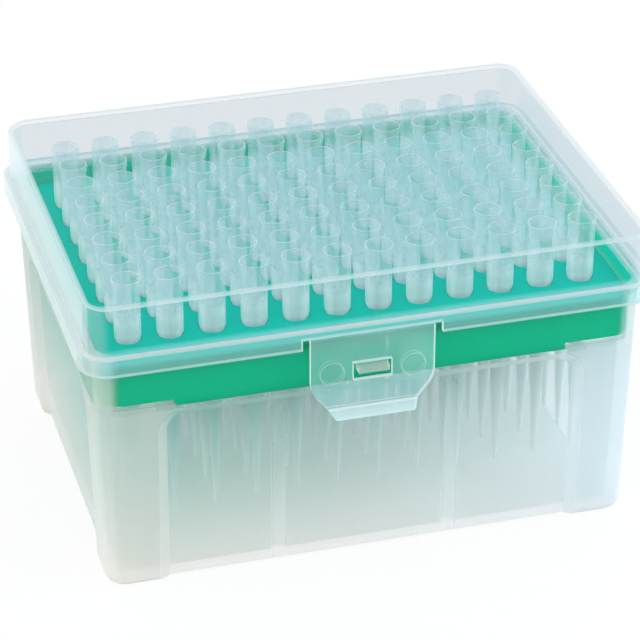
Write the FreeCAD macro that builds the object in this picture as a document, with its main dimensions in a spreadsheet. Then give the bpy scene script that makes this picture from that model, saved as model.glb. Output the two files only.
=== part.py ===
"""Box of pipette tips: a hinged tip box with a rack of 96 tips, as a parametric document.

Frame: +Z up, the box stands on z = 0 with its middle on the Z axis. The latch is on the
-Y side, the lid's hinge on the +Y side, and the twelve columns of tips run along X.
All sizes are in millimetres and live in the spreadsheet "Sizes".
"""
import FreeCAD, Part
import os
import re

import Sketcher

doc = FreeCAD.newDocument("tip_box")
sheet = doc.addObject("Spreadsheet::Sheet", "Sizes")

SIZES = {
    # grid of tips
    "pitch": 9.0,                # between neighbouring tips, both ways
    "column_count": 12,
    "row_count": 8,
    # tub
    "side_room": 10.0,           # from the outer tips' axes to the wall's outside, along X
    "front_room": 13.5,          # the same along Y, both at the top of the wall
    "base_height": 57.2,
    "base_corner": 6.0,          # plan radius of the wall's corners at the top
    "draft_run": 1.6,            # what the wall leans in, each side, from top to bottom
    "wall": 1.4,
    "floor_thick": 1.6,
    "foot_height": 0.6,          # how far the corner feet stand below the floor
    "foot_round": 2.2,
    "rim_reach": 0.7,            # the lip round the top of the tub
    "rim_thick": 1.5,
    "recess_depth": 1.8,         # the panels between the corner posts are set in
    "bevel_angle": 52.0,         # slope of the frame round a set-in panel
    "recess_round": 6.0,
    "post_front": 12.9,          # corner post, measured along the front
    "post_side": 13.5,           # corner post, measured along the side
    "ledge_height": 43.1,        # the shelf inside on which the rack stands
    "rib_spread": 38.0,          # between the two ribs inside each long panel
    "rib_width": 2.6,
    "rib_reach": 1.2,
    "rib_drop": 4.0,             # from the shelf down to the top of a rib
    # rack
    "rack_clear": 0.25,          # round the rack, to the tub's wall at the shelf
    "deck_thick": 2.0,
    "deck_drop": 3.2,            # from the tub's rim down to the deck
    "skirt_thick": 1.4,
    "skirt_relief": 1.5,         # how much shorter the rack's skirt is at the corners
    "relief_reach": 17.0,        # from the tub's outside to the end of such a short piece
    "deck_round": 0.8,
    "hole_clear": 0.15,          # round the stem of a tip
    "seat_width": 0.4,           # countersink of a hole, across and deep
    # tip
    "tip_length": 57.0,
    "hub_height": 14.0,          # what stands above the deck
    "collar_height": 1.5,
    "collar_radius": 3.1,
    "hub_radius": 2.85,
    "stem_radius": 2.5,          # just under the hub
    "point_radius": 0.45,
    "mouth_radius": 2.65,
    "orifice_radius": 0.22,
    # lid
    "lid_rise": 12.2,            # from the tub's rim to the top of the lid
    "lid_wall": 1.0,
    "lid_draft": 0.3,            # what the lid's wall leans in, each side
    "lid_round": 1.2,            # along the top edges
    "ceiling_round": 0.6,
    "lid_corner": 5.2,           # plan radius of the lid's wall
    "lid_clear": 0.3,            # between the lid's skirt and the tub's rim, front and rear
    "end_clear": 0.7,            # the same at the two ends
    "skirt_wall": 1.1,
    "skirt_drop": 3.2,           # how far the skirt hangs below the tub's rim
    "step_reach": 1.3,           # how far the skirt stands out from the lid's wall
    "step_thick": 1.1,
    "step_round": 0.3,
    "skirt_corner": 6.5,
    # latch
    "latch_place": -1.2,         # along X
    "latch_width": 26.8,
    "latch_length": 18.0,        # from the hinge line to the lower edge
    "latch_slant": 4.8,          # what the slanting lower corners take off, along X
    "latch_rise": 6.0,           # the same along Z
    "latch_round": 6.0,          # where the slant meets the flap's side
    "lip_round": 0.8,            # where the slant meets the lower edge
    "latch_gap": 1.7,            # beside the flap, in the notch of the skirt
    "hinge_gap": 0.2,            # over the bead of the flap
    "lip_height": 0.9,
    "window_width": 8.4,
    "window_height": 4.1,
    "window_drop": 6.3,          # from the hinge line to the top of the window
    "catch_width": 6.6,
    "catch_under": 2.0,          # from the window's lower edge up to the catch
    "catch_play": 0.4,           # over the catch
    "catch_flat": 1.0,           # height of the catch's front face
    "catch_reach": 0.9,          # how far the catch stands out of the flap
    # hinge
    "hinge_spread": 64.0,        # between the two hinges
    "hinge_drop": 3.0,           # from the skirt's lower edge down to the pins
    "hinge_reach": 0.3,          # from the skirt's outside out to the pins
    "pin_radius": 1.2,
    "pin_clear": 0.08,
    "knuckle_radius": 2.2,
    "knuckle_width": 6.0,
    "knuckle_mouth": 2.1,        # the snap-in slot under a knuckle
    "ear_thick": 2.4,
    "ear_radius": 1.9,
    "ear_web": 6.6,              # from the pin down to the foot of an ear's web
    "ear_clear": 0.3,            # beside a knuckle
}

for line, (alias, value) in enumerate(SIZES.items(), start=1):
    sheet.set("A%d" % line, alias.replace("_", " "))
    sheet.set("B%d" % line, str(value))
    sheet.setAlias("B%d" % line, alias)
doc.recompute()


# ---------------------------------------------------------------- expressions over the sheet

def size(expression):
    """The expression with the sheet's name put in front of each alias."""
    return re.sub(r"\b[a-z]\w*\b",
                  lambda word: "Sizes." + word.group() if word.group() in SIZES else word.group(),
                  expression)


def now(expression):
    """The number that an expression over the sheet gives at present."""
    return float(sheet.evalExpression(size(expression)))


def half(total, height, inset="0"):
    """Half of the tub's length or depth at a height, with its leaning wall, less an inset."""
    return f"({total} / 2 - draft_run * (1 - ({height}) / base_height) - ({inset}))"


# Places that several pieces share.
LENGTH = "(pitch * (column_count - 1) + 2 * side_room)"
DEPTH = "(pitch * (row_count - 1) + 2 * front_room)"
LEAN = "atan(draft_run / base_height)"
SKIRT_HALF_X = f"({LENGTH} / 2 + rim_reach + end_clear + skirt_wall)"
SKIRT_HALF_Y = f"({DEPTH} / 2 + rim_reach + lid_clear + skirt_wall)"
SKIRT_FOOT = "(base_height - skirt_drop)"
SKIRT_HEAD = "(base_height + step_thick)"
DECK_TOP = "(base_height - deck_drop)"
DECK_UNDER = f"({DECK_TOP} - deck_thick)"
RACK_HALF_X = half(LENGTH, "ledge_height", "wall + rack_clear")
RACK_HALF_Y = half(DEPTH, "ledge_height", "wall + rack_clear")
GRID_X = "(pitch * (column_count - 1) / 2)"
GRID_Y = "(pitch * (row_count - 1) / 2)"
HINGE_Y = f"({SKIRT_HALF_Y} + hinge_reach)"
HINGE_Z = f"({SKIRT_FOOT} - hinge_drop)"
LATCH_Y = f"({SKIRT_HALF_Y} - skirt_wall / 2)"
LATCH_Z = "(base_height - rim_thick)"
WINDOW_TOP = f"({LATCH_Z} - window_drop)"
WINDOW_FOOT = f"({WINDOW_TOP} - window_height)"


# ---------------------------------------------------------------- bodies, sketches, features

def new_body(label):
    body = doc.addObject("PartDesign::Body", label)
    body.Label = label
    body.AllowCompound = True
    return body


def origin_feature(body, role):
    return next(item for item in body.Origin.OriginFeatures if item.Role == role)


def new_sketch(body, name, plane, offset="0", up="0", along="0", reverse=False, lean=False):
    """A sketch on an origin plane of its body: offset along the plane's normal, moved along
    its own two axes, turned to the plane's other side, or leaning with the tub's wall."""
    sketch = body.newObject("Sketcher::SketchObject", name)
    sketch.AttachmentSupport = [(origin_feature(body, plane), "")]
    sketch.MapMode = "FlatFace"
    sketch.MapReversed = reverse
    if lean:
        turn = FreeCAD.Rotation(FreeCAD.Vector(1, 0, 0), 1)
        sketch.AttachmentOffset = FreeCAD.Placement(FreeCAD.Vector(), turn)
        sketch.setExpression("AttachmentOffset.Rotation.Angle", size(LEAN))
    sketch.setExpression("AttachmentOffset.Base.x", size(along))
    sketch.setExpression("AttachmentOffset.Base.y", size(up))
    sketch.setExpression("AttachmentOffset.Base.z", size(offset))
    return sketch


def bind(sketch, name, kind, places, expression):
    """Adds a dimension to a sketch and ties it to the sheet."""
    index = sketch.addConstraint(Sketcher.Constraint(kind, *places, now(expression)))
    sketch.renameConstraint(index, name)
    sketch.setExpression("Constraints." + name, size(expression))


def place_point(sketch, name, geometry, end, x, y):
    """Ties one point of a sketch to the sketch's origin."""
    for axis, kind, value in (("x", "DistanceX", x), ("y", "DistanceY", y)):
        if value == "0":
            on_axis = -2 if axis == "x" else -1
            sketch.addConstraint(Sketcher.Constraint("PointOnObject", geometry, end, on_axis))
        else:
            bind(sketch, f"{name}_{axis}", kind, (-1, 1, geometry, end), value)


def polygon(sketch, points, name="p"):
    """A closed outline of straight lines through points given as expressions."""
    spots = [FreeCAD.Vector(now(x), now(y), 0) for x, y in points]
    first = sketch.GeometryCount
    count = len(points)
    for start, end in zip(spots, spots[1:] + spots[:1]):
        sketch.addGeometry(Part.LineSegment(start, end))
    for index in range(count):
        after = first + (index + 1) % count
        sketch.addConstraint(Sketcher.Constraint("Coincident", first + index, 2, after, 1))
    for index, (x, y) in enumerate(points):
        place_point(sketch, f"{name}{index}", first + index, 1, x, y)


def box_outline(sketch, low_x, low_y, high_x, high_y, name="b"):
    polygon(sketch, [(low_x, low_y), (high_x, low_y), (high_x, high_y), (low_x, high_y)], name)


def circle(sketch, x, y, radius, name="c"):
    spot = FreeCAD.Vector(now(x), now(y), 0)
    ring = sketch.addGeometry(Part.Circle(spot, FreeCAD.Vector(0, 0, 1), now(radius)))
    place_point(sketch, name, ring, 3, x, y)
    bind(sketch, name + "_radius", "Radius", (ring,), radius)


def rounded_box(sketch, half_x, half_y, corner):
    """A rectangle with round corners about the sketch's origin."""
    x, y, r = now(half_x), now(half_y), now(corner)
    first = sketch.GeometryCount
    normal = FreeCAD.Vector(0, 0, 1)
    quarter = FreeCAD.Units.parseQuantity("90 deg").getValueAs("rad").Value
    corners = ((x - r, y - r), (r - x, y - r), (r - x, r - y), (x - r, r - y))
    starts = ((x - r, y), (-x, y - r), (r - x, -y), (x, r - y))
    ends = ((r - x, y), (-x, r - y), (x - r, -y), (x, y - r))
    for turn in range(4):
        round_part = Part.Circle(FreeCAD.Vector(*corners[turn], 0), normal, r)
        sketch.addGeometry(Part.ArcOfCircle(round_part, turn * quarter, (turn + 1) * quarter))
        sketch.addGeometry(Part.LineSegment(FreeCAD.Vector(*starts[turn], 0),
                                            FreeCAD.Vector(*ends[turn], 0)))
    for turn in range(4):
        arc, side = first + 2 * turn, first + 2 * turn + 1
        next_arc = first + (2 * turn + 2) % 8
        sketch.addConstraint(Sketcher.Constraint("Tangent", arc, 2, side, 1))
        sketch.addConstraint(Sketcher.Constraint("Tangent", side, 2, next_arc, 1))
        level = "Horizontal" if turn % 2 == 0 else "Vertical"
        sketch.addConstraint(Sketcher.Constraint(level, side))
        if turn:
            sketch.addConstraint(Sketcher.Constraint("Equal", first, arc))
    sketch.addConstraint(Sketcher.Constraint("Symmetric", first, 3, first + 4, 3, -1, 1))
    bind(sketch, "corner", "Radius", (first,), corner)
    bind(sketch, "half_x", "DistanceX", (-1, 1, first + 7, 1), half_x)
    bind(sketch, "half_y", "DistanceY", (-1, 1, first + 1, 1), half_y)


def extrude(body, kind, name, sketch, length, reverse=False, middle=False, taper=None):
    """A Pad or a Pocket whose length is tied to the sheet."""
    feature = body.newObject("PartDesign::" + kind, name)
    feature.Profile = sketch
    feature.setExpression("Length", size(length))
    feature.Reversed = reverse
    if middle:
        feature.SideType = "Symmetric"
    if taper:
        feature.setExpression("TaperAngle", size(taper))
    return feature


def round_edges(body, name, radius, wanted):
    """Rounds the edges of the body's last feature whose bounding box passes a test."""
    doc.recompute()
    base = body.Tip
    edges = ["Edge%d" % (index + 1) for index, edge in enumerate(base.Shape.Edges)
             if wanted(edge.BoundBox)]
    feature = body.newObject("PartDesign::Fillet", name)
    feature.Base = (base, edges)
    feature.setExpression("Radius", size(radius))
    return feature


def at(value, place):
    return abs(value - now(place)) < 0.01


# ---------------------------------------------------------------- the tub

def tub_outline(body, name, height, inset):
    """The tub's leaning wall at a height, less an inset."""
    sketch = new_sketch(body, name, "XY_Plane", height)
    rounded_box(sketch, half(LENGTH, height, inset), half(DEPTH, height, inset),
                half("2 * base_corner", height, inset))
    return sketch


def make_base():
    body = new_body("base")
    floor_top = "(foot_height + floor_thick)"
    inner = "(wall + recess_depth)"

    extrude(body, "Pad", "tub_wall", tub_outline(body, "tub_foot", "0", "0"), "base_height",
            taper=LEAN)
    round_edges(body, "foot_rounding", "foot_round", lambda box: at(box.ZMax, "0"))

    rim = new_sketch(body, "rim_outline", "XY_Plane", "base_height - rim_thick")
    rounded_box(rim, f"{LENGTH} / 2 + rim_reach", f"{DEPTH} / 2 + rim_reach",
                "base_corner + rim_reach")
    extrude(body, "Pad", "rim", rim, "rim_thick")

    # Set-in panels between the corner posts, each with a sloping frame, open at the foot.
    run_off = "(2 * recess_round)"
    middle = f"((ledge_height - {run_off}) / 2)"
    tall = f"((ledge_height + {run_off}) / 2)"
    sides = (("front", "XZ_Plane", False, DEPTH, f"{LENGTH} / 2 - post_front"),
             ("rear", "XZ_Plane", True, DEPTH, f"{LENGTH} / 2 - post_front"),
             ("right", "YZ_Plane", False, LENGTH, f"{DEPTH} / 2 - post_side"),
             ("left", "YZ_Plane", True, LENGTH, f"{DEPTH} / 2 - post_side"))
    for side, plane, reverse, total, half_width in sides:
        panel = new_sketch(body, f"panel_{side}", plane, half(total, middle), up=middle,
                           reverse=reverse, lean=True)
        rounded_box(panel, half_width, tall, "recess_round")
        extrude(body, "Pocket", f"recess_{side}", panel, "recess_depth", taper="-bevel_angle")

    # The floor is raised between the four feet.
    for name, reach_x, reach_y in (
            ("along", f"{LENGTH} / 2 + rim_reach", f"{DEPTH} / 2 - post_side"),
            ("across", f"{LENGTH} / 2 - post_front", f"{DEPTH} / 2 + rim_reach")):
        relief = new_sketch(body, f"floor_{name}", "XY_Plane")
        box_outline(relief, f"-({reach_x})", f"-({reach_y})", reach_x, reach_y)
        extrude(body, "Pocket", f"floor_relief_{name}", relief, "foot_height", reverse=True)

    # Inside: a narrower well below the shelf, a wider one above it.
    extrude(body, "Pocket", "rack_room", tub_outline(body, "room_head", "base_height", "wall"),
            "base_height - ledge_height", taper=f"-{LEAN}")
    extrude(body, "Pocket", "well", tub_outline(body, "well_head", "ledge_height", inner),
            f"ledge_height - {floor_top}", taper=f"-{LEAN}")

    # Upright ribs inside the two long panels.
    rib_top = "(ledge_height - rib_drop)"
    for side in (-1, 1):
        for face in (-1, 1):
            name = f"rib_{'front' if face < 0 else 'rear'}_{'left' if side < 0 else 'right'}"
            rib = new_sketch(body, name + "_outline", "YZ_Plane",
                             f"latch_place + {side} * rib_spread / 2")
            high = half(DEPTH, rib_top, inner)
            low = half(DEPTH, floor_top, inner)
            polygon(rib, [(f"{face} * ({low} + wall / 2)", f"{floor_top} - floor_thick / 2"),
                          (f"{face} * ({low} - rib_reach)", f"{floor_top} - floor_thick / 2"),
                          (f"{face} * ({high} - rib_reach)", f"{rib_top} - rib_reach"),
                          (f"{face} * ({high} + wall / 2)", rib_top)])
            extrude(body, "Pad", name, rib, "rib_width", middle=True)

    # The catch under which the latch flap snaps.
    catch = new_sketch(body, "catch_outline", "YZ_Plane", "latch_place")
    catch_foot = f"({WINDOW_FOOT} + catch_under)"
    catch_front = f"({SKIRT_HALF_Y} + catch_reach)"
    root = half(DEPTH, catch_foot, "wall / 2")
    polygon(catch, [(f"-{root}", catch_foot),
                    (f"-{catch_front}", catch_foot),
                    (f"-{catch_front}", f"{catch_foot} + catch_flat"),
                    (f"-{SKIRT_HALF_Y} + skirt_wall", f"{WINDOW_TOP} - catch_play"),
                    (f"-{root}", f"{WINDOW_TOP} + catch_play")])
    extrude(body, "Pad", "catch", catch, "catch_width", middle=True)

    # Hinge ears in pairs, each pair with a pin moulded between them. The web of an ear meets
    # its round eye where the corner of a 3-4-5 triangle lies on it.
    ear_root = half(DEPTH, HINGE_Z, "wall / 2")
    ear_shift = "(knuckle_width / 2 + ear_clear + ear_thick / 2)"
    for side in (-1, 1):
        place = f"{side} * hinge_spread / 2"
        word = "left" if side < 0 else "right"
        for ear in (-1, 1):
            name = f"ear_{word}_{'a' if ear < 0 else 'b'}"
            spot = f"{place} + {ear} * {ear_shift}"
            web = new_sketch(body, name + "_web", "YZ_Plane", spot)
            polygon(web, [(ear_root, f"{HINGE_Z} - ear_web"),
                          (f"{HINGE_Y} + 0.6 * ear_radius", f"{HINGE_Z} - 0.8 * ear_radius"),
                          (HINGE_Y, HINGE_Z),
                          (HINGE_Y, f"{HINGE_Z} + ear_radius"),
                          (ear_root, f"{HINGE_Z} + ear_radius")])
            extrude(body, "Pad", name + "_arm", web, "ear_thick", middle=True)
            eye = new_sketch(body, name + "_eye", "YZ_Plane", spot)
            circle(eye, HINGE_Y, HINGE_Z, "ear_radius")
            extrude(body, "Pad", name, eye, "ear_thick", middle=True)
        pin = new_sketch(body, f"pin_{word}_outline", "YZ_Plane", place)
        circle(pin, HINGE_Y, HINGE_Z, "pin_radius")
        extrude(body, "Pad", f"pin_{word}", pin, f"2 * {ear_shift}", middle=True)
    return body


# ---------------------------------------------------------------- the rack

def make_rack():
    body = new_body("rack_plate")
    corner = half("2 * base_corner", "ledge_height", "wall + rack_clear")

    outside = new_sketch(body, "rack_outline", "XY_Plane", "ledge_height")
    rounded_box(outside, RACK_HALF_X, RACK_HALF_Y, corner)
    extrude(body, "Pad", "rack_block", outside, f"{DECK_TOP} - ledge_height")
    round_edges(body, "deck_edge", "deck_round", lambda box: at(box.ZMin, DECK_TOP))

    inside = new_sketch(body, "rack_inside", "XY_Plane", "ledge_height")
    rounded_box(inside, f"{RACK_HALF_X} - skirt_thick", f"{RACK_HALF_Y} - skirt_thick",
                f"{corner} - skirt_thick")
    extrude(body, "Pocket", "rack_hollow", inside, f"{DECK_UNDER} - ledge_height", reverse=True)

    # The skirt is shorter at the corners, over the tub's posts.
    corners = new_sketch(body, "corner_reliefs", "XY_Plane", "ledge_height")
    for number, (x, y) in enumerate(((1, 1), (-1, 1), (-1, -1), (1, -1))):
        near_x = f"{x} * ({LENGTH} / 2 - relief_reach)"
        near_y = f"{y} * ({DEPTH} / 2 - relief_reach)"
        far_x, far_y = f"{x} * {LENGTH} / 2", f"{y} * {DEPTH} / 2"
        box_outline(corners, near_x, near_y, far_x, far_y, name=f"n{number}_")
    extrude(body, "Pocket", "corner_relief", corners, "skirt_relief", reverse=True)

    # One countersunk hole, repeated over the grid.
    hole_radius = "(stem_radius + hole_clear)"
    profile = new_sketch(body, "hole_profile", "XZ_Plane", GRID_Y, along=f"-{GRID_X}")
    polygon(profile, [("0", f"{DECK_UNDER} - deck_thick"),
                      (hole_radius, f"{DECK_UNDER} - deck_thick"),
                      (hole_radius, f"{DECK_TOP} - seat_width"),
                      (f"{hole_radius} + 2 * seat_width", f"{DECK_TOP} + seat_width"),
                      ("0", f"{DECK_TOP} + seat_width")])
    doc.recompute()
    hole = body.newObject("PartDesign::Groove", "first_hole")
    hole.Profile = profile
    hole.ReferenceAxis = (profile, ["V_Axis"])
    hole.Angle = 360
    doc.recompute()

    holes = body.newObject("PartDesign::LinearPattern", "holes")
    holes.Originals = [hole]
    holes.Direction = (origin_feature(body, "X_Axis"), [""])
    holes.setExpression("Length", size(f"2 * {GRID_X}"))
    holes.setExpression("Occurrences", size("column_count"))
    holes.Direction2 = (origin_feature(body, "Y_Axis"), [""])
    holes.setExpression("Length2", size(f"2 * {GRID_Y}"))
    holes.setExpression("Occurrences2", size("row_count"))
    body.Tip = holes
    return body


# ---------------------------------------------------------------- the tips

def make_column(number):
    """One column of tips, from front to back."""
    body = new_body("tips_column_%02d" % number)
    rim = f"({DECK_TOP} + hub_height)"
    neck = f"({DECK_TOP} - seat_width - hole_clear)"
    profile = new_sketch(body, f"tip_profile_{number}", "XZ_Plane")
    polygon(profile, [("mouth_radius", rim),
                      ("collar_radius", rim),
                      ("hub_radius", f"{rim} - collar_height"),
                      ("hub_radius", f"{neck} + hub_radius - stem_radius"),
                      ("stem_radius", neck),
                      ("point_radius", f"{rim} - tip_length"),
                      ("orifice_radius", f"{rim} - tip_length")])
    tip = body.newObject("PartDesign::Revolution", f"tip_{number}")
    tip.Profile = profile
    tip.ReferenceAxis = (profile, ["V_Axis"])
    tip.Angle = 360
    doc.recompute()

    row = body.newObject("PartDesign::LinearPattern", f"tips_{number}")
    row.Originals = [tip]
    row.Direction = (origin_feature(body, "Y_Axis"), [""])
    row.setExpression("Length", size(f"2 * {GRID_Y}"))
    row.setExpression("Occurrences", size("row_count"))
    body.Tip = row
    body.setExpression("Placement.Base.x", size(f"pitch * {number - 1} - {GRID_X}"))
    body.setExpression("Placement.Base.y", size(f"-{GRID_Y}"))
    return body


# ---------------------------------------------------------------- the lid

def make_lid():
    body = new_body("lid")
    lid_top = "(base_height + lid_rise)"
    wall_x, wall_y = f"({SKIRT_HALF_X} - step_reach)", f"({SKIRT_HALF_Y} - step_reach)"

    lean = "-atan(lid_draft / lid_rise)"

    def wall_outline(name, inset):
        sketch = new_sketch(body, name, "XY_Plane", "base_height")
        rounded_box(sketch, f"{wall_x} - {inset}", f"{wall_y} - {inset}", f"lid_corner - {inset}")
        return sketch

    extrude(body, "Pad", "hood", wall_outline("hood_outline", "0"), "lid_rise", taper=lean)
    round_edges(body, "top_rounding", "lid_round", lambda box: at(box.ZMin, lid_top))

    skirt = new_sketch(body, "skirt_outline", "XY_Plane", SKIRT_FOOT)
    rounded_box(skirt, SKIRT_HALF_X, SKIRT_HALF_Y, "skirt_corner")
    extrude(body, "Pad", "skirt", skirt, f"{SKIRT_HEAD} - {SKIRT_FOOT}")
    round_edges(body, "step_rounding", "step_round",
                lambda box: at(box.ZMin, SKIRT_HEAD) and at(box.ZMax, SKIRT_HEAD)
                and (at(box.XMax, SKIRT_HALF_X) or at(box.YMax, SKIRT_HALF_Y)
                     or at(-box.XMin, SKIRT_HALF_X) or at(-box.YMin, SKIRT_HALF_Y)))

    ceiling = f"({lid_top} - lid_wall)"
    extrude(body, "Pocket", "hood_hollow", wall_outline("hood_inside", "lid_wall"),
            "lid_rise - lid_wall", reverse=True, taper=lean)
    round_edges(body, "ceiling_rounding", "ceiling_round",
                lambda box: at(box.ZMin, ceiling))
    inside = new_sketch(body, "skirt_inside", "XY_Plane", SKIRT_FOOT)
    rounded_box(inside, f"{SKIRT_HALF_X} - skirt_wall", f"{SKIRT_HALF_Y} - skirt_wall",
                "skirt_corner - skirt_wall")
    extrude(body, "Pocket", "skirt_hollow", inside, "skirt_drop", reverse=True)

    # The notch in which the latch flap hangs.
    notch = new_sketch(body, "notch_outline", "XZ_Plane", f"{SKIRT_HALF_Y} + skirt_wall",
                       along="latch_place")
    box_outline(notch, "-latch_width / 2 - latch_gap", f"{SKIRT_FOOT} - skirt_wall",
                "latch_width / 2 + latch_gap", f"{LATCH_Z} + skirt_wall / 2 + hinge_gap")
    extrude(body, "Pocket", "notch", notch, "2 * skirt_wall + lid_clear")

    # Knuckles that snap over the tub's pins.
    for side in (-1, 1):
        place = f"{side} * hinge_spread / 2"
        word = "left" if side < 0 else "right"
        arm = new_sketch(body, f"knuckle_arm_{word}", "YZ_Plane", place)
        near = f"({HINGE_Y} - skirt_wall)"
        far = f"({HINGE_Y} + skirt_wall)"
        polygon(arm, [(near, HINGE_Z), (far, HINGE_Z), (far, f"{SKIRT_FOOT} + skirt_wall"),
                      (HINGE_Y, f"{SKIRT_HEAD} - step_thick / 2"),
                      (near, f"{SKIRT_HEAD} - step_thick / 2")])
        extrude(body, "Pad", f"arm_{word}", arm, "knuckle_width", middle=True)
        barrel = new_sketch(body, f"knuckle_barrel_{word}", "YZ_Plane", place)
        circle(barrel, HINGE_Y, HINGE_Z, "knuckle_radius")
        extrude(body, "Pad", f"knuckle_{word}", barrel, "knuckle_width", middle=True)
        bore = new_sketch(body, f"knuckle_bore_{word}", "YZ_Plane", place)
        circle(bore, HINGE_Y, HINGE_Z, "pin_radius + pin_clear")
        extrude(body, "Pocket", f"bore_{word}", bore, "2 * knuckle_width", middle=True)
        mouth = new_sketch(body, f"knuckle_mouth_{word}", "YZ_Plane", place)
        box_outline(mouth, f"{HINGE_Y} - knuckle_mouth / 2", f"{HINGE_Z} - 2 * knuckle_radius",
                    f"{HINGE_Y} + knuckle_mouth / 2", HINGE_Z)
        extrude(body, "Pocket", f"mouth_{word}", mouth, "2 * knuckle_width", middle=True)
    return body


# ---------------------------------------------------------------- the latch flap

def make_latch():
    body = new_body("latch_flap")
    bead = "(skirt_wall / 2)"
    foot = f"({LATCH_Z} - latch_length)"
    crease = f"({foot} + lip_height)"
    lip_out = f"({HINGE_Y} + knuckle_radius)"
    outer, inner = SKIRT_HALF_Y, f"({SKIRT_HALF_Y} - skirt_wall)"

    section = new_sketch(body, "flap_section", "YZ_Plane", "latch_place")
    polygon(section, [(f"-{outer}", LATCH_Z), (f"-{outer}", f"{crease} + skirt_wall / 2"),
                      (f"-{lip_out}", foot), (f"-{lip_out} + skirt_wall", foot),
                      (f"-{inner}", crease), (f"-{inner}", LATCH_Z)])
    extrude(body, "Pad", "flap", section, "latch_width", middle=True)
    bead_end = new_sketch(body, "bead_section", "YZ_Plane", "latch_place")
    circle(bead_end, f"-{LATCH_Y}", LATCH_Z, bead)
    extrude(body, "Pad", "bead", bead_end, "latch_width", middle=True)

    # The lower corners are cut off aslant and rounded.
    slant = new_sketch(body, "flap_corners", "XZ_Plane", f"{lip_out} + skirt_wall",
                       along="latch_place")
    beyond = "(latch_width / 2 + skirt_wall)"
    below = f"({foot} - skirt_wall)"
    for name, side in (("left", -1), ("right", 1)):
        polygon(slant, [(f"{side} * {beyond}", below),
                        (f"{side} * (latch_width / 2 - latch_slant)", below),
                        (f"{side} * (latch_width / 2 - latch_slant)", foot),
                        (f"{side} * latch_width / 2", f"{foot} + latch_rise"),
                        (f"{side} * {beyond}", f"{foot} + latch_rise")], name)
    extrude(body, "Pocket", "flap_trim", slant, f"{lip_out} - {inner} + 2 * skirt_wall")
    for name, radius, height in (("side_rounding", "latch_round", f"{foot} + latch_rise"),
                                 ("lip_rounding", "lip_round", foot)):
        round_edges(body, name, radius,
                    lambda box: at(box.ZMin, height) and at(box.ZMax, height)
                    and box.XLength < 0.01)

    window = new_sketch(body, "window_outline", "XZ_Plane", f"{lip_out} + skirt_wall",
                        along="latch_place")
    box_outline(window, "-window_width / 2", WINDOW_FOOT, "window_width / 2", WINDOW_TOP)
    extrude(body, "Pocket", "window", window, f"{lip_out} - {inner} + 2 * skirt_wall")
    return body


# ---------------------------------------------------------------- build, check, write

pieces = [make_base(), make_rack(), make_lid(), make_latch()]
pieces += [make_column(number) for number in range(1, SIZES["column_count"] + 1)]
doc.recompute()

for item in doc.Objects:
    if {"Invalid", "Error"} & set(item.State):
        raise RuntimeError("%s failed: %s" % (item.Label, item.State))
for piece in pieces:
    if piece.Shape.isNull() or not piece.Shape.isValid():
        raise RuntimeError("%s has no valid shape" % piece.Label)

os.makedirs("parts", exist_ok=True)
for piece in pieces:
    piece.Shape.exportStep("parts/%s.step" % piece.Label)
    box = piece.Shape.BoundBox
    print("%-16s solids %2d  volume %9.1f  x %7.2f %7.2f  y %7.2f %7.2f  z %6.2f %6.2f" % (
        piece.Label, len(piece.Shape.Solids), piece.Shape.Volume,
        box.XMin, box.XMax, box.YMin, box.YMax, box.ZMin, box.ZMax))
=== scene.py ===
import math

import bmesh
import bpy
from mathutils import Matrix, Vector


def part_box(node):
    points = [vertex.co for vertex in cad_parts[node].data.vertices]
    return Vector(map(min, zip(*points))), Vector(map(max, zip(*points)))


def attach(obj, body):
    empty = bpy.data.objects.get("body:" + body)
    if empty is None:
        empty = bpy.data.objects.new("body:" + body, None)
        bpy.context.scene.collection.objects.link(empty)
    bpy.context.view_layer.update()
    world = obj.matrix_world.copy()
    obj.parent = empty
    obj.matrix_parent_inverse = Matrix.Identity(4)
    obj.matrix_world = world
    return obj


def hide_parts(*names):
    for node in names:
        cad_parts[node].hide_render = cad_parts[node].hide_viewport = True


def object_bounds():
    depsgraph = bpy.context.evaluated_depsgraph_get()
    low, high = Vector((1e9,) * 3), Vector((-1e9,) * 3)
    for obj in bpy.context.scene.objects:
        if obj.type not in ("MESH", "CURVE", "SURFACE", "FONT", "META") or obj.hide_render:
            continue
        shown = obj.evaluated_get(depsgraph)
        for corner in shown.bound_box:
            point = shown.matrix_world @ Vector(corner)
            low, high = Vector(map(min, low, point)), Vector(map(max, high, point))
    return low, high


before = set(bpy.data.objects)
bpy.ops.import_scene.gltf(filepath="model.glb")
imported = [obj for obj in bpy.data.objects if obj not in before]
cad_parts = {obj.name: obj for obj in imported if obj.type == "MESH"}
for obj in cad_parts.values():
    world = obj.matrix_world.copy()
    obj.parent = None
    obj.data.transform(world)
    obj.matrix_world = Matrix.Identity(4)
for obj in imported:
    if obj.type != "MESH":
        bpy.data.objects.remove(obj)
cad_low, cad_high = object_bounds()

MM = 0.001
scene = bpy.context.scene
scene.view_settings.view_transform = "Standard"
scene.cycles.max_bounces = 14
scene.cycles.diffuse_bounces = 5
scene.cycles.glossy_bounces = 6
scene.cycles.transmission_bounces = 10
scene.cycles.transparent_max_bounces = 64
scene.cycles.caustics_reflective = False


# ---------------------------------------------------------------- shader helpers

def srgb(red, green, blue):
    """A linear colour with alpha from sRGB values of 0 to 255."""
    def linear(value):
        value = value / 255
        return value / 12.92 if value <= 0.04045 else ((value + 0.055) / 1.055) ** 2.4
    return (linear(red), linear(green), linear(blue), 1.0)


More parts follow.
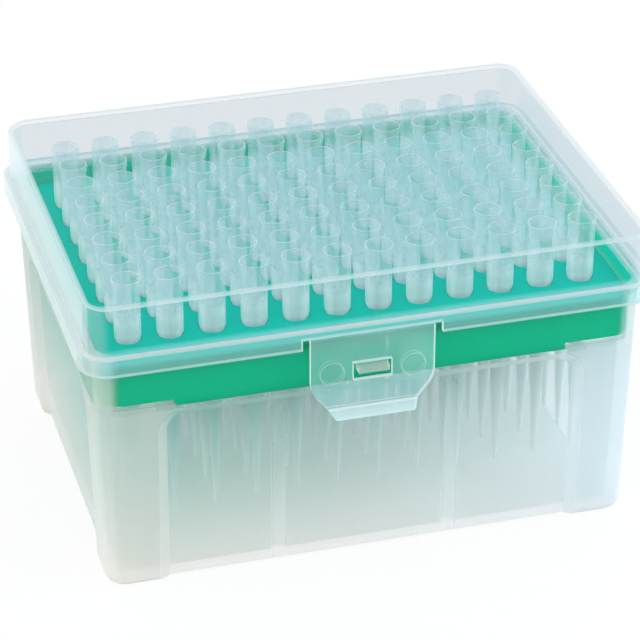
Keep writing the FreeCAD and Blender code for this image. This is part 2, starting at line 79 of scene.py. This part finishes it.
class Shader:
    """The node tree of a material or a world, with short ways to add and link nodes. A value
    is a number, a node, or one output of a node."""

    def __init__(self, holder, output="OutputMaterial"):
        holder.use_nodes = True
        self.holder = holder
        self.tree = holder.node_tree
        self.tree.nodes.clear()
        self.output = self.add(output)

    def add(self, kind, **inputs):
        """A new node. An underscore in the name of an input stands for a space."""
        node = self.tree.nodes.new("ShaderNode" + kind)
        for name, value in inputs.items():
            self.put(node, name.replace("_", " "), value)
        return node

    def put(self, node, socket, value):
        """Sets or links an input of a node, which is given by its name or its number."""
        if isinstance(value, bpy.types.Node):
            value = value.outputs[0]
        if isinstance(value, bpy.types.NodeSocket):
            self.tree.links.new(value, node.inputs[socket])
        else:
            node.inputs[socket].default_value = value

    def maths(self, operation, first, second=0.0, clamp=False):
        node = self.add("Math")
        node.operation = operation
        node.use_clamp = clamp
        self.put(node, 0, first)
        self.put(node, 1, second)
        return node.outputs[0]

    def fold(self, operation, values):
        """One operation on a row of values, from the left."""
        total = values[0]
        for value in values[1:]:
            total = self.maths(operation, total, value)
        return total

    def times(self, *values):
        return self.fold("MULTIPLY", values)

    def plus(self, *values):
        return self.fold("ADD", values)

    def most(self, *values):
        return self.fold("MAXIMUM", values)

    def scale(self, value, low, high, to_low, to_high):
        """Goes evenly from to_low at low to to_high at high, and stays there beyond."""
        return self.add("MapRange", Value=value, From_Min=low, From_Max=high,
                        To_Min=to_low, To_Max=to_high).outputs[0]

    def rise(self, value, low, high, peak=1.0):
        """0 up to low, peak from high on."""
        return self.scale(value, low, high, 0.0, peak)

    def fall(self, value, low, high, peak=1.0):
        """peak up to low, 0 from high on."""
        return self.scale(value, low, high, peak, 0.0)

    def window(self, value, low, high, soft):
        """1 between two values, 0 outside, with soft ends."""
        return self.times(self.rise(value, low - soft, low + soft),
                          self.fall(value, high - soft, high + soft))

    def mix(self, factor, first, second):
        """A mix of two closures."""
        node = self.add("MixShader")
        for index, value in enumerate((factor, first, second)):
            self.put(node, index, value)
        return node

    def blend(self, factor, first, second):
        """A mix of two colours."""
        node = self.add("Mix")
        node.data_type = "RGBA"
        for index, value in ((0, factor), (6, first), (7, second)):
            self.put(node, index, value)
        return node.outputs[2]

    def noise(self, size, detail, stretch=(1, 1, 1)):
        """A noise of about the given grain size, 0 to 1."""
        place = self.add("TexCoord").outputs["Object"]
        mapping = self.add("Mapping", Vector=place, Scale=stretch)
        return self.add("TexNoise", Vector=mapping, Scale=1.0 / size, Detail=detail).outputs[0]

    def bump(self, height, strength, distance):
        return self.add("Bump", Strength=strength, Distance=distance, Height=height)

    def split(self, output):
        """The three parts of one of the texture coordinates."""
        parts = self.add("SeparateXYZ", Vector=self.add("TexCoord").outputs[output])
        return list(parts.outputs)

    def place(self):
        """The three coordinates of a point in its piece's own frame."""
        return self.split("Object")

    def normal(self):
        """The three parts of the surface's direction in its own frame, without their signs."""
        return [self.maths("ABSOLUTE", part) for part in self.split("Normal")]

    def inside(self, middle, soft):
        """1 on surfaces that look towards a point in the middle of a hollow, 0 on others."""
        total = 0.0
        for part, direction, centre in zip(self.place(), self.split("Normal"), middle):
            away = self.times(self.maths("SUBTRACT", part, centre), direction)
            total = self.plus(away, total)
        return self.fall(total, -soft, 0.0)

    def facing(self, power):
        """0 where the surface is met square on, 1 at its silhouette."""
        weight = self.add("LayerWeight", Blend=0.5)
        return self.maths("POWER", weight.outputs["Facing"], power)

    def shadow_ray(self):
        return self.add("LightPath").outputs["Is Shadow Ray"]

    def backdrop_ray(self):
        """1 for rays from the camera and for those that came through clear pieces."""
        path = self.add("LightPath")
        return self.most(path.outputs["Is Camera Ray"], path.outputs["Is Transmission Ray"])

    def finish(self, surface):
        self.put(self.output, "Surface", surface)
        return self.holder


def new_material(name):
    return Shader(bpy.data.materials.new(name))


# Faces are told apart by the parts of their direction: a level face has 1 in its third part.

def level_face(make, normal):
    """1 on level faces."""
    return make.rise(normal[2], 0.9, 0.97)


def plan_corner(make, normal):
    """1 on upright walls where they turn a corner."""
    turn = make.times(normal[0], normal[1])
    return make.times(make.rise(turn, 0.12, 0.42), make.fall(normal[2], 0.2, 0.4))


def rounding(make, normal):
    """1 on roundings between a level face and an upright one."""
    return make.times(make.rise(normal[2], 0.2, 0.5), make.fall(normal[2], 0.85, 0.98))


# ---------------------------------------------------------------- plastics

MOST_MILK = 0.97                # no place is milkier
WHITE = (1, 1, 1, 1)
PLAIN_CLOUDS = (11.0 * MM, 3.0, (1, 1, 1))


def clear_plastic(name, body, clear, haze, edge_haze, sharp, gloss, rough, shine_sharp, grain,
                  front, extra, shadow=0.4, cloud=0.25, clouds=PLAIN_CLOUDS):
    """Thin see-through plastic.
    body: colour of the milkiness. clear: colour that passes one face.
    haze: share of milkiness met square on. edge_haze: what the silhouette adds, and sharp:
    how narrow that is. gloss, rough, shine_sharp: share, blur and narrowness of the shine.
    grain: size and detail of the bumps. clouds: size, detail and stretch of the unevenness
    of the haze, and cloud: its strength.
    front: share of the milkiness that is lit from the front and not from behind, where it
    is thin and where it is dense. shadow: what is left of the milkiness in its shadow, as it
    scatters light mostly forwards.
    extra: gives more milkiness by place and direction, and None or a tint of painted light
    as a pair of where it is and its colour."""
    make = new_material(name)
    cloudy = make.noise(*clouds)
    bump = make.bump(make.noise(*grain), 0.12, 0.06 * MM)
    more, tint = extra(make)
    share = make.times(make.scale(cloudy, 0.3, 0.7, 1 - cloud, 1 + cloud), haze)
    share = make.plus(share, make.times(make.facing(sharp), edge_haze), more)
    share = make.maths("MINIMUM", share, MOST_MILK, clamp=True)
    shade = make.shadow_ray()
    share = make.times(share, make.scale(shade, 0.0, 1.0, 1.0, shadow))
    clear = make.blend(shade, clear, (0.99, 0.99, 0.99, 1))
    lighter = tuple(min(1.0, channel * 1.03) for channel in body[:3]) + (1.0,)
    tone = make.blend(make.rise(cloudy, 0.3, 0.7), body, lighter)
    tone = make.blend(make.rise(share, 0.2, 0.6), tone, srgb(252, 254, 255))
    # a tint of painted light, where one is given
    if tint:
        where, colour = tint
        tone = make.blend(where, tone, colour)
    lit = make.mix(make.scale(share, 0.05, 0.5, *front),
                   make.add("BsdfTranslucent", Color=tone),
                   make.add("BsdfDiffuse", Color=tone, Roughness=0.3, Normal=bump))
    seen = make.mix(share, make.add("BsdfTransparent", Color=clear), lit)
    shine = make.add("BsdfGlossy", Color=WHITE, Roughness=rough)
    amount = make.scale(make.facing(shine_sharp), 0.0, 1.0, gloss, 0.9)
    return make.finish(make.mix(amount, seen, shine))


def frosted_plastic(name, haze, edge_haze, front, extra):
    """Milky plastic that blurs what is behind it. haze, edge_haze and front are as above.
    extra gives, by place and direction, more milkiness, the blur, the share that passes
    without blur, the colour of the milkiness, the colour that passes one face, and how much
    more of the milkiness is lit from the front.
    The blur stays under 0.25 and so does the milkiness of the panels. Past that, Cycles'
    denoiser takes the wall for a plain surface and wipes out the tips behind it."""
    make = new_material(name)
    cloudy = make.noise(16.0 * MM, 3.0, (1, 1, 0.45))
    bump = make.bump(make.noise(0.9 * MM, 2.0), 0.05, 0.04 * MM)
    more, blur, direct, body, clear, lift = extra(make)
    share = make.times(make.scale(cloudy, 0.25, 0.75, 0.8, 1.2), haze)
    share = make.plus(share, make.times(make.facing(3.0), edge_haze), more)
    share = make.maths("MINIMUM", share, MOST_MILK, clamp=True)
    lit = make.mix(make.maths("ADD", make.scale(share, 0.12, 0.5, *front), lift, clamp=True),
                   make.add("BsdfTranslucent", Color=body, Normal=bump),
                   make.add("BsdfDiffuse", Color=body, Roughness=0.4, Normal=bump))
    blurred = make.add("BsdfRefraction", Color=clear, Roughness=blur, IOR=1.07, Normal=bump)
    shade = make.shadow_ray()
    straight = make.add("BsdfTransparent",
                        Color=make.blend(shade, clear, (0.985, 0.985, 0.985, 1)))
    passing = make.mix(make.most(shade, direct), blurred, straight)
    share = make.times(share, make.scale(shade, 0.0, 1.0, 1.0, 0.4))
    seen = make.mix(share, passing, lit)
    shine = make.add("BsdfGlossy", Color=WHITE, Roughness=0.28, Normal=bump)
    amount = make.scale(make.facing(6.0), 0.0, 1.0, 0.004, 0.3)
    return make.finish(make.mix(amount, seen, shine))


def rack_plastic(name, top, side, rough):
    """Coloured moulded plastic that lets a little light in. Its level faces are painted lighter
    and bluer than the upright faces of the skirt, as painted light falling from above."""
    make = new_material(name)
    cloudy = make.noise(20.0 * MM, 3.0)
    fine = make.noise(0.6 * MM, 3.0)
    # painted light: level faces take the lighter, bluer top colour, upright faces the side colour
    tone = make.blend(make.rise(make.normal()[2], 0.3, 0.8), side, top)
    tone = make.blend(make.fall(cloudy, 0.3, 0.7, 0.12), tone, srgb(0, 190, 150))
    main = make.add("BsdfPrincipled", Base_Color=tone, IOR=1.49, Specular_IOR_Level=0.06,
                    Normal=make.bump(fine, 0.12, 0.05 * MM),
                    Roughness=make.scale(cloudy, 0.3, 0.7, rough - 0.04, rough + 0.06))
    return make.finish(make.mix(0.25, main, make.add("BsdfTranslucent", Color=tone)))


# ---------------------------------------------------------------- milkiness by place

base_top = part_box("base")[1][2]
rack_foot, deck_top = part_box("rack_plate")[0][2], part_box("rack_plate")[1][2]
tip_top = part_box("tips_column_01")[1][2]

POST_X, POST_Y = 46.6 * MM, 31.5 * MM       # inner edges of the corner posts
POST_OVER = 1.5 * MM                        # the posts reach this far over the rack's foot
PANEL_ROUND = 6.0 * MM                      # corner of a set-in panel's frame
RELIEF_X = 42.5 * MM                        # beyond this the rack's skirt is cut shorter
RIB_X = (-20.2 * MM, 17.8 * MM)             # ribs inside the long panels
RIB_HALF, RIB_TOP = 1.5 * MM, 38.5 * MM
CATCH_Y = -45.9 * MM                        # the catch stands out in front of this
HALF_LENGTH = 50.0 * MM                     # the painted shade and the painted warm-to-cool tint change from end to end of this
HOLLOW = (0.0, 0.0, 30.0 * MM)              # a point in the middle of the tub
NOTCH_X = 19.0 * MM                         # the ends of the lid's notch
CREASE = (38.95 * MM, 39.35 * MM)           # heights of the fold over the flap's lip
RING_PLACES = ((-10.0 * MM, 47.6 * MM), (7.6 * MM, 47.3 * MM))      # round marks on the flap
RING_RADIUS = 2.6 * MM
SEAM_X = 1.85 * MM                          # a short upright line in the flap's top half
SEAM_Z = (50.2 * MM, 54.6 * MM)
HAIR = 0.08 * MM                            # half the width of a hair line


def spandrel(make, across, height, edge):
    """1 in the corners that a set-in panel's rounded frame leaves at its top."""
    aside = make.most(make.maths("SUBTRACT", across, edge - PANEL_ROUND), 0.0)
    above = make.most(make.maths("SUBTRACT", height, rack_foot - PANEL_ROUND), 0.0)
    both = make.maths("MINIMUM", make.rise(aside, 0.0, 0.4 * MM), make.rise(above, 0.0, 0.4 * MM))
    away = make.maths("SQRT", make.plus(make.maths("POWER", aside, 2.0),
                                        make.maths("POWER", above, 2.0)))
    return make.times(both, make.fall(height, rack_foot + 0.1 * MM, rack_foot + 0.4 * MM),
                      make.rise(away, PANEL_ROUND - 0.2 * MM, PANEL_ROUND + 0.2 * MM))


def tub_posts(make, place, normal):
    """1 on the corner posts and the spandrels beside them, less on the strips that the
    rack's shorter skirt leaves bare."""
    across, deep = make.maths("ABSOLUTE", place[0]), make.maths("ABSOLUTE", place[1])
    height = place[2]
    walls = ((across, POST_X, normal[1]), (deep, POST_Y, normal[0]))
    posts = [make.times(make.rise(along, edge - 0.3 * MM, edge + 0.3 * MM),
                        make.rise(direction, 0.5, 0.7)) for along, edge, direction in walls]
    over = rack_foot + POST_OVER
    post = make.times(make.most(*posts), make.fall(height, over - 0.2 * MM, over + 0.2 * MM))
    corners = [make.times(spandrel(make, along, height, edge), make.rise(direction, 0.3, 0.5))
               for along, edge, direction in walls]
    relief = make.times(make.rise(across, RELIEF_X - 0.2 * MM, RELIEF_X + 0.2 * MM),
                        make.window(height, rack_foot - 0.1 * MM, over, 0.1 * MM))
    return make.most(post, *corners, make.times(relief, 0.8))


def tub_level(make, height, normal):
    """Milkiness of the tub's level faces, which is thinner under the lip."""
    lip = make.window(height, base_top - 2.0 * MM, base_top - 1.0 * MM, 0.2 * MM)
    high = make.maths("SUBTRACT", make.rise(height, 10.0 * MM, 12.0 * MM, 0.40),
                      make.times(lip, 0.32))
    bottom = make.window(height, 1.4 * MM, 4.0 * MM, 0.2 * MM)
    return make.times(level_face(make, normal), make.plus(high, make.times(bottom, 0.36)))


def tub_milk(make):
    """The wall is clearest round the rack; posts, frames, ribs, corners and level faces are
    milky. Painted light from the green rack tints the wall below it, less and less further
    down, and the inside of the wall just above its deck. Painted teal shade tints the far
    inner walls and the floor below the rack. Painted shade darkens the end away from the
    window, and the milk is painted warm there and cool at the window's end. Near the foot
    and the window's end more of the panels' milkiness is lit from the front."""
    normal, place = make.normal(), make.place()
    height = place[2]
    post = tub_posts(make, place, normal)
    corner = plan_corner(make, normal)
    flat = make.maths("SUBTRACT", 1.0, make.most(post, corner))
    low = make.fall(height, rack_foot - 0.4 * MM, rack_foot + 0.4 * MM)

    ribs = make.plus(*(make.window(place[0], x - RIB_HALF, x + RIB_HALF, 0.4 * MM) for x in RIB_X))
    ribs = make.times(ribs, make.fall(height, RIB_TOP - 0.5 * MM, RIB_TOP + 0.5 * MM))
    more = make.most(make.times(corner, 0.45),
                     make.times(rounding(make, normal),
                                make.scale(height, 6.0 * MM, 12.0 * MM, 0.12, 0.55)),
                     tub_level(make, height, normal),
                     make.times(post, 0.45),
                     make.times(ribs, 0.12),
                     make.fall(place[1], CATCH_Y - 0.1 * MM, CATCH_Y, 0.35))
    more = make.plus(more,
                     make.times(low, 0.14),
                     make.fall(height, 4.0 * MM, 26.0 * MM, 0.05),
                     make.rise(normal[0], 0.8, 0.95, 0.16))

    # The inside: painted teal shade on the far walls and floor below the rack, and painted green
    # light of the rack on the wall just above its deck.
    inner = make.inside(HOLLOW, 4.0 * MM)
    # painted shade: 1 at the end away from the window, falling to 0.22 at the window's end
    painted_end_shade = make.scale(place[0], -HALF_LENGTH, HALF_LENGTH, 1.0, 0.22)
    # painted shade on the far faces: stronger higher up the walls, and on the floor towards its
    # middle
    on_floor = make.fall(height, 4.5 * MM, 5.0 * MM)
    shade = make.blend(on_floor, make.scale(height, 4.0 * MM, 40.0 * MM, 0.15, 1.0),
                       make.fall(make.maths("ABSOLUTE", place[1]), 4.0 * MM, 36.0 * MM, 0.35))
    behind = make.times(inner, low)
    # far: where the painted teal shade goes on the inner faces
    far = make.times(behind, make.times(shade, painted_end_shade))
    above = make.times(make.window(height, deck_top - 2.0 * MM, base_top - 0.4 * MM, 0.2 * MM),
                       inner, make.fall(normal[2], 0.3, 0.6))
    more = make.most(more, make.times(behind, 0.34), make.times(above, 0.82))

    turned = make.times(normal[0], normal[1])
    direct = make.most(make.rise(normal[0], 0.75, 0.95, 0.9), make.rise(turned, 0.02, 0.15), post)
    # painted light: the rack's green light tints the wall below it, fading further down and at the
    # shaded end, and not on posts or corners
    glow = make.times(make.times(make.rise(height, 6.0 * MM, rack_foot), low), flat, painted_end_shade)
    # painted light colour: the milk turns from warm at the shaded end to cool at the window's end
    body = make.blend(make.rise(place[0], -HALF_LENGTH, HALF_LENGTH),
                      srgb(248, 245, 241), srgb(240, 246, 250))
    clear = (0.980, 0.980, 0.974, 1)
    # the painted glow of the rack and the painted teal shade of the inside, each with the colour
    # passed through one face
    for where, milk, passed in ((glow, srgb(196, 234, 228), (0.968, 0.982, 0.978, 1)),
                                (far, srgb(150, 208, 200), (0.66, 0.910, 0.885, 1))):
        body = make.blend(where, body, milk)
        clear = make.blend(where, clear, passed)
    # painted green light of the rack on the inside of the wall just above its deck
    body = make.blend(above, body, srgb(0, 216, 190))
    lift = make.plus(make.fall(height, 4.0 * MM, 40.0 * MM),
                     make.rise(place[0], 0.0, HALF_LENGTH, 0.25))
    lift = make.times(make.times(lift, flat), make.times(low, make.fall(normal[0], 0.5, 0.7)))
    return more, make.scale(low, 0.0, 1.0, 0.10, 0.24), direct, body, clear, lift


def lid_milk(make):
    """The roundings, the step, the corners, the notch's ends and the skirt catch the light,
    and the upright walls turn milky where they are seen aslant. Painted light of the rack
    tints the front and rear of the skirt."""
    normal, place = make.normal(), make.place()
    height = place[2]
    brim = make.fall(height, base_top + 1.6 * MM, base_top + 2.0 * MM)
    skirt = make.fall(height, base_top - 0.6 * MM, base_top - 0.2 * MM)
    upright = make.fall(normal[2], 0.1, 0.3)
    cut = make.times(make.rise(normal[0], 0.9, 0.98), skirt)
    near = make.fall(make.maths("ABSOLUTE", place[0]), NOTCH_X - 1.0 * MM, NOTCH_X + 1.0 * MM)
    more = make.most(make.times(rounding(make, normal), 0.45),
                     make.times(plan_corner(make, normal), 0.08),
                     make.times(make.times(level_face(make, normal), brim), 0.60),
                     make.times(make.times(cut, near), 0.8))
    # painted light of the rack: a cyan tint on the front and rear faces of the skirt's brim
    glow = make.times(brim, upright, make.rise(normal[1], 0.8, 0.95))
    more = make.plus(more,
                     make.times(upright, make.facing(3.5), 0.42),
                     make.times(brim, make.scale(glow, 0.0, 1.0, 0.10, 0.19)))
    return more, (glow, srgb(186, 253, 255))


def flap_milk(make):
    """Thin upright strips all round the flap and its window are bright, its faces hazy; a
    fold runs over the lip, a short seam stands in the top half, and two round marks stand
    beside the window."""
    normal, place = make.normal(), make.place()
    strips = make.most(make.fall(normal[1], 0.25, 0.45, 0.80),
                       make.fall(normal[1], 0.75, 0.95, 0.08))
    fold = make.window(place[2], *CREASE, 0.12 * MM)
    seam = make.times(make.window(place[0], SEAM_X - HAIR, SEAM_X + HAIR, HAIR),
                      make.window(place[2], *SEAM_Z, 0.6 * MM))
    more = make.plus(strips, make.times(fold, 0.45), make.times(seam, 0.22))
    for across, height in RING_PLACES:
        aside = make.maths("POWER", make.maths("SUBTRACT", place[0], across), 2.0)
        above = make.maths("POWER", make.maths("SUBTRACT", place[2], height), 2.0)
        away = make.maths("SQRT", make.plus(aside, above))
        ring = make.window(away, RING_RADIUS - 0.1 * MM, RING_RADIUS + 0.1 * MM, 0.1 * MM)
        more = make.plus(more, make.times(ring, 0.30))
    return more, None


def tip_milk(make):
    """The rim, the ribbed half of the hub and the stem are milkier than the rest."""
    depth = make.maths("SUBTRACT", tip_top, make.place()[2])
    rim = make.fall(depth, 0.1 * MM, 0.3 * MM, 0.25)
    collar = make.fall(depth, 1.4 * MM, 1.8 * MM, 0.03)
    ribbed = make.times(make.window(depth, 8.4 * MM, 14.1 * MM, 1.4 * MM), 0.33)
    stem = make.rise(depth, 14.0 * MM, 15.0 * MM, 0.78)
    return make.plus(make.plus(rim, collar), make.plus(ribbed, stem)), None


tip_look = clear_plastic(
    "tip_clear", body=srgb(247, 251, 254), clear=(0.945, 0.985, 0.988, 1),
    haze=0.14, edge_haze=0.38, sharp=5.0, gloss=0.004, rough=0.12, shine_sharp=7.0,
    grain=(0.8 * MM, 0.0), front=(0.30, 0.95), extra=tip_milk, shadow=0.0,
    cloud=0.40, clouds=(1.4 * MM, 0.0, (1, 1, 0.05)))

LOOKS = {
    "base": frosted_plastic("tub_frosted", 0.02, 0.30, (0.03, 0.40), tub_milk),
    "rack_plate": rack_plastic("rack_green", srgb(0, 226, 206), srgb(0, 200, 154), 0.42),
    "lid": clear_plastic(
        "lid_clear", body=srgb(238, 248, 255), clear=(0.925, 0.940, 0.950, 1),
        haze=0.005, edge_haze=0.60, sharp=9.0, gloss=0.002, rough=0.09, shine_sharp=9.0,
        grain=(1.2 * MM, 2.0), front=(0.90, 0.45), extra=lid_milk),
    "latch_flap": clear_plastic(
        "flap_clear", body=srgb(204, 252, 255), clear=(0.95, 0.99, 0.99, 1),
        haze=0.21, edge_haze=0.50, sharp=7.0, gloss=0.003, rough=0.12, shine_sharp=7.0,
        grain=(1.2 * MM, 2.0), front=(0.55, 0.62), extra=flap_milk),
}
for node, look in LOOKS.items():
    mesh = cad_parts[node].data
    mesh.materials.clear()
    mesh.materials.append(look)


# ---------------------------------------------------------------- tips

COLUMNS, IN_COLUMN = 12, 8
AROUND = 48                     # points round a tip
RIBS = 8                        # inside the lower half of a hub
RIB_ZONE = (13.4, 7.2)          # depths between which the ribs stand, in millimetres
RIB_REACH = 0.42                # how far they stand in, in millimetres
RIB_TURN = (0.7, 1.9)           # turn from tip to tip of a column, and with each mm across
# Outside, from the rim down: (depth below the rim, radius), in millimetres.
OUTSIDE = ((0.00, 2.95), (0.05, 3.04), (0.16, 3.09), (0.35, 3.10), (1.25, 3.10), (1.42, 3.05),
           (1.55, 2.90), (1.75, 2.86), (6.50, 2.85), (7.10, 2.85), (10.0, 2.84), (13.0, 2.83),
           (13.7, 2.78), (14.05, 2.70), (14.45, 2.50), (20.0, 2.24), (32.0, 1.66),
           (45.0, 1.03), (55.8, 0.51), (56.8, 0.46), (57.0, 0.40))
# Inside, from the point up.
INSIDE = ((57.0, 0.22), (45.0, 0.62), (32.0, 1.20), (20.0, 1.75), (14.6, 2.02), (13.2, 2.12),
          (12.0, 2.20), (9.00, 2.30), (7.40, 2.34), (6.90, 2.36), (3.50, 2.46), (1.80, 2.56),
          (1.00, 2.70), (0.40, 2.82), (0.04, 2.88))


def tip_rings():
    """Rings of (depth, radius, rib reach) from the rim down the outside and up the inside."""
    for depth, radius in OUTSIDE:
        yield depth, radius, 0.0
    for depth, radius in INSIDE:
        yield depth, radius, RIB_REACH if RIB_ZONE[1] < depth < RIB_ZONE[0] else 0.0


def build_tip(grid, x, y, top, turn):
    """One hollow tip, as a closed band of rings."""
    loops = []
    for depth, radius, reach in tip_rings():
        ring = []
        for step in range(AROUND):
            angle = 2 * math.pi * step / AROUND
            wave = math.cos(RIBS * angle + turn)
            out = (radius - reach * max(0.0, wave) ** 2) * MM
            ring.append(grid.verts.new((x + out * math.cos(angle), y + out * math.sin(angle),
                                        top - depth * MM)))
        loops.append(ring)
    for ring, after in zip(loops, loops[1:] + loops[:1]):
        for step in range(AROUND):
            nxt = (step + 1) % AROUND
            grid.faces.new((ring[step], after[step], after[nxt], ring[nxt]))


def build_column(node):
    """A finer copy of one column of tips, in the place of its CAD node."""
    low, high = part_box(node)
    middle_x = (low[0] + high[0]) / 2
    radius = (high[0] - low[0]) / 2
    first_y, last_y = low[1] + radius, high[1] - radius
    grid = bmesh.new()
    for index in range(IN_COLUMN):
        y = first_y + (last_y - first_y) * index / (IN_COLUMN - 1)
        build_tip(grid, middle_x, y, high[2], RIB_TURN[0] * index + RIB_TURN[1] * middle_x / MM)
    bmesh.ops.recalc_face_normals(grid, faces=grid.faces)
    mesh = bpy.data.meshes.new(node + "_fine")
    grid.to_mesh(mesh)
    grid.free()
    for face in mesh.polygons:
        face.use_smooth = True
    mesh.materials.append(tip_look)
    piece = bpy.data.objects.new(node + "_fine", mesh)
    scene.collection.objects.link(piece)
    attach(piece, "base")
    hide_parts(node)


for number in range(1, COLUMNS + 1):
    build_column("tips_column_%02d" % number)


# ---------------------------------------------------------------- studio

def stage_plane(name, size, height, material):
    mesh = bpy.data.meshes.new(name)
    mesh.from_pydata([(-size, -size, height), (size, -size, height),
                      (size, size, height), (-size, size, height)], [], [(0, 1, 2, 3)])
    mesh.materials.append(material)
    plane = bpy.data.objects.new(name, mesh)
    scene.collection.objects.link(plane)


def white_floor():
    """A floor that takes the object's shadow and is seen nearly white."""
    make = new_material("floor_white")
    lit = make.add("BsdfDiffuse", Color=(0.93, 0.93, 0.93, 1))
    glow = make.add("Emission", Color=WHITE, Strength=1.0)
    return make.finish(make.mix(make.times(make.backdrop_ray(), 0.87), lit, glow))


def white_world():
    """A soft cool light all round, seen as plain white."""
    make = Shader(bpy.data.worlds.new("studio"), "OutputWorld")
    fill = make.add("Background", Color=(0.96, 0.99, 1.0, 1), Strength=0.93)
    white = make.add("Background", Color=WHITE, Strength=1.0)
    return make.finish(make.mix(make.backdrop_ray(), fill, white))


def area_lamp(name, place, target, size, power, colour):
    lamp = bpy.data.lights.new(name, "AREA")
    lamp.shape = "SQUARE"
    lamp.size = size
    lamp.energy = power
    lamp.color = colour
    thing = bpy.data.objects.new(name, lamp)
    thing.location = place
    thing.rotation_euler = (Vector(target) - Vector(place)).to_track_quat("-Z", "Y").to_euler()
    scene.collection.objects.link(thing)


stage_plane("floor", 3.0, cad_low[2], white_floor())
scene.world = white_world()
area_lamp("key", (0.72, -0.22, 0.38), (0, 0, 0.04), 0.6, 3.2, (0.80, 0.92, 1.0))
area_lamp("left", (-0.7, -0.15, 0.35), (0, 0, 0.04), 0.5, 1.4, (1.0, 0.98, 0.95))


# ---------------------------------------------------------------- camera

# Solved from the rims of tips in the photograph.
AZIMUTH, ELEVATION, ROLL = math.radians(-15.684), math.radians(29.555), math.radians(-0.054)
TARGET = Vector((-16.03, -59.135, 68.0)) * MM
DISTANCE = 576.884 * MM
FOCAL_LENGTH, PHOTO_WIDTH = 2901.893, 640       # in pixels
SENSOR_WIDTH = 36.0

camera_data = bpy.data.cameras.new("camera")
camera_data.sensor_width = SENSOR_WIDTH
camera_data.lens = SENSOR_WIDTH * FOCAL_LENGTH / PHOTO_WIDTH
camera_data.clip_end = 20.0
camera = bpy.data.objects.new("camera", camera_data)
back = Vector((math.sin(AZIMUTH) * math.cos(ELEVATION),
               -math.cos(AZIMUTH) * math.cos(ELEVATION), math.sin(ELEVATION)))
camera.location = TARGET + DISTANCE * back
camera.rotation_euler = back.to_track_quat("Z", "Y").to_euler()
camera.rotation_euler.rotate_axis("Z", ROLL)
scene.collection.objects.link(camera)
scene.camera = camera
